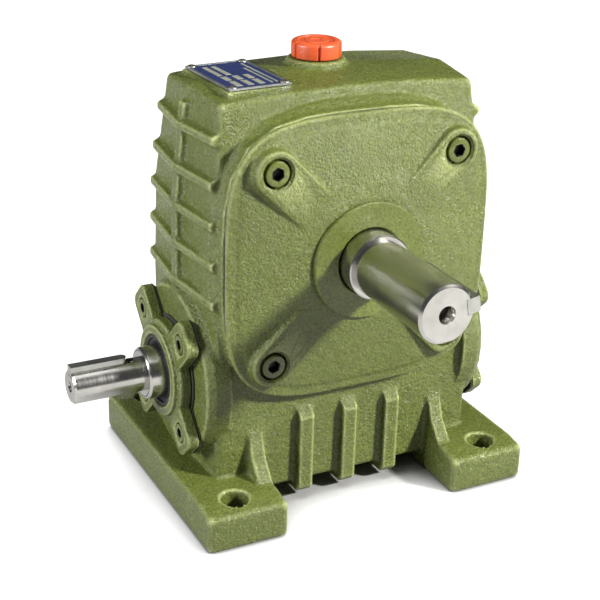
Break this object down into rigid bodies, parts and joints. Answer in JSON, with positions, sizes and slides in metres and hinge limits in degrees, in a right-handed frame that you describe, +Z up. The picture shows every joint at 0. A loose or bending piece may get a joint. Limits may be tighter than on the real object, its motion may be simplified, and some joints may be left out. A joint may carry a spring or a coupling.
{
  "type": "worm gearbox",
  "caption": "Single-stage worm gearbox in a ribbed green cast housing on two foot bars, with keyed input and output shafts at right angles.",
  "frame": {"origin": "middle of the footprint of the whole gearbox, shafts included, on the plane the feet stand on", "axes": "+Z up; the output shaft leaves towards -Y and the input shaft towards -X"},
  "size_m": [0.2354, 0.2074, 0.2385],
  "materials": {
    "green_paint": "olive green enamel over rough cast iron",
    "polished_steel": "ground",
    "black_steel": "black oxide",
    "gear_bronze": "machined bronze",
    "bare_iron": "as cast",
    "seal_rubber": "matte",
    "gasket": "pressed fibre",
    "orange_plastic": "moulded",
    "blue_plate": "printed sheet"
  },
  "bodies": {
    "gearbox": {"housing": "green_paint", "output_cover": "green_paint", "output_gasket": "gasket", "input_cover": "green_paint", "worm_end_cover": "green_paint", "input_gasket": "gasket", "worm_end_gasket": "gasket", "rear_cover": "green_paint", "rear_gasket": "gasket", "output_cover_screw_1": "black_steel", "output_cover_screw_2": "black_steel", "output_cover_screw_3": "black_steel", "output_cover_screw_4": "black_steel", "input_cover_screw_1": "black_steel", "input_cover_screw_2": "black_steel", "input_cover_screw_3": "black_steel", "input_cover_screw_4": "black_steel", "worm_end_cover_screw_1": "black_steel", "worm_end_cover_screw_2": "black_steel", "worm_end_cover_screw_3": "black_steel", "worm_end_cover_screw_4": "black_steel", "rear_cover_screw_1": "black_steel", "rear_cover_screw_2": "black_steel", "rear_cover_screw_3": "black_steel", "rear_cover_screw_4": "black_steel", "drain_plug": "black_steel", "level_plug": "black_steel", "nameplate": "blue_plate", "nameplate_rivet_1": "polished_steel", "nameplate_rivet_2": "polished_steel", "nameplate_rivet_3": "polished_steel", "nameplate_rivet_4": "polished_steel", "output_front_outer_ring": "polished_steel", "output_rear_outer_ring": "polished_steel", "worm_input_outer_ring": "polished_steel", "worm_end_outer_ring": "polished_steel", "output_seal": "seal_rubber", "input_seal": "seal_rubber"},
    "output": {"output_shaft": "polished_steel", "wheel_hub": "bare_iron", "wheel_rim": "gear_bronze", "wheel_key": "polished_steel", "output_key": "polished_steel", "rear_spacer": "polished_steel", "output_front_inner_ring": "polished_steel", "output_rear_inner_ring": "polished_steel"},
    "worm": {"worm_shaft": "polished_steel", "input_key": "polished_steel", "input_wear_sleeve": "polished_steel", "worm_input_inner_ring": "polished_steel", "worm_end_inner_ring": "polished_steel"},
    "output_front_cage": {"output_front_rollers": "polished_steel"},
    "output_rear_cage": {"output_rear_rollers": "polished_steel"},
    "worm_input_cage": {"worm_input_rollers": "polished_steel"},
    "worm_end_cage": {"worm_end_rollers": "polished_steel"},
    "cap": {"breather_cap": "orange_plastic"}
  },
  "joints": [
    {"name": "output_spin", "type": "hinge", "parent": "gearbox", "child": "output", "pos_m": [0.02275, 0.02825, 0.14], "axis": [0, 1, 0], "continuous": true},
    {"name": "worm_spin", "type": "hinge", "parent": "gearbox", "child": "worm", "pos_m": [0.02275, 0.02825, 0.07], "axis": [1, 0, 0], "continuous": true},
    {"name": "output_front_cage_spin", "type": "hinge", "parent": "gearbox", "child": "output_front_cage", "pos_m": [0.02275, -0.00925, 0.14], "axis": [0, 1, 0], "continuous": true},
    {"name": "output_rear_cage_spin", "type": "hinge", "parent": "gearbox", "child": "output_rear_cage", "pos_m": [0.02275, 0.06575, 0.14], "axis": [0, 1, 0], "continuous": true},
    {"name": "worm_input_cage_spin", "type": "hinge", "parent": "gearbox", "child": "worm_input_cage", "pos_m": [-0.04945, 0.02825, 0.07], "axis": [1, 0, 0], "continuous": true},
    {"name": "worm_end_cage_spin", "type": "hinge", "parent": "gearbox", "child": "worm_end_cage", "pos_m": [0.09495, 0.02825, 0.07], "axis": [1, 0, 0], "continuous": true},
    {"name": "breather_lift", "type": "slide", "parent": "gearbox", "child": "cap", "axis": [0, 0, 1], "range_m": [0, 0.02]}
  ],
  "couplings": [
    {"joint": "worm_spin", "follows": "output_spin", "ratio": 30},
    {"joint": "output_front_cage_spin", "follows": "output_spin", "ratio": 0.412},
    {"joint": "output_rear_cage_spin", "follows": "output_spin", "ratio": 0.412},
    {"joint": "worm_input_cage_spin", "follows": "output_spin", "ratio": 12.5},
    {"joint": "worm_end_cage_spin", "follows": "output_spin", "ratio": 12.5}
  ]
}
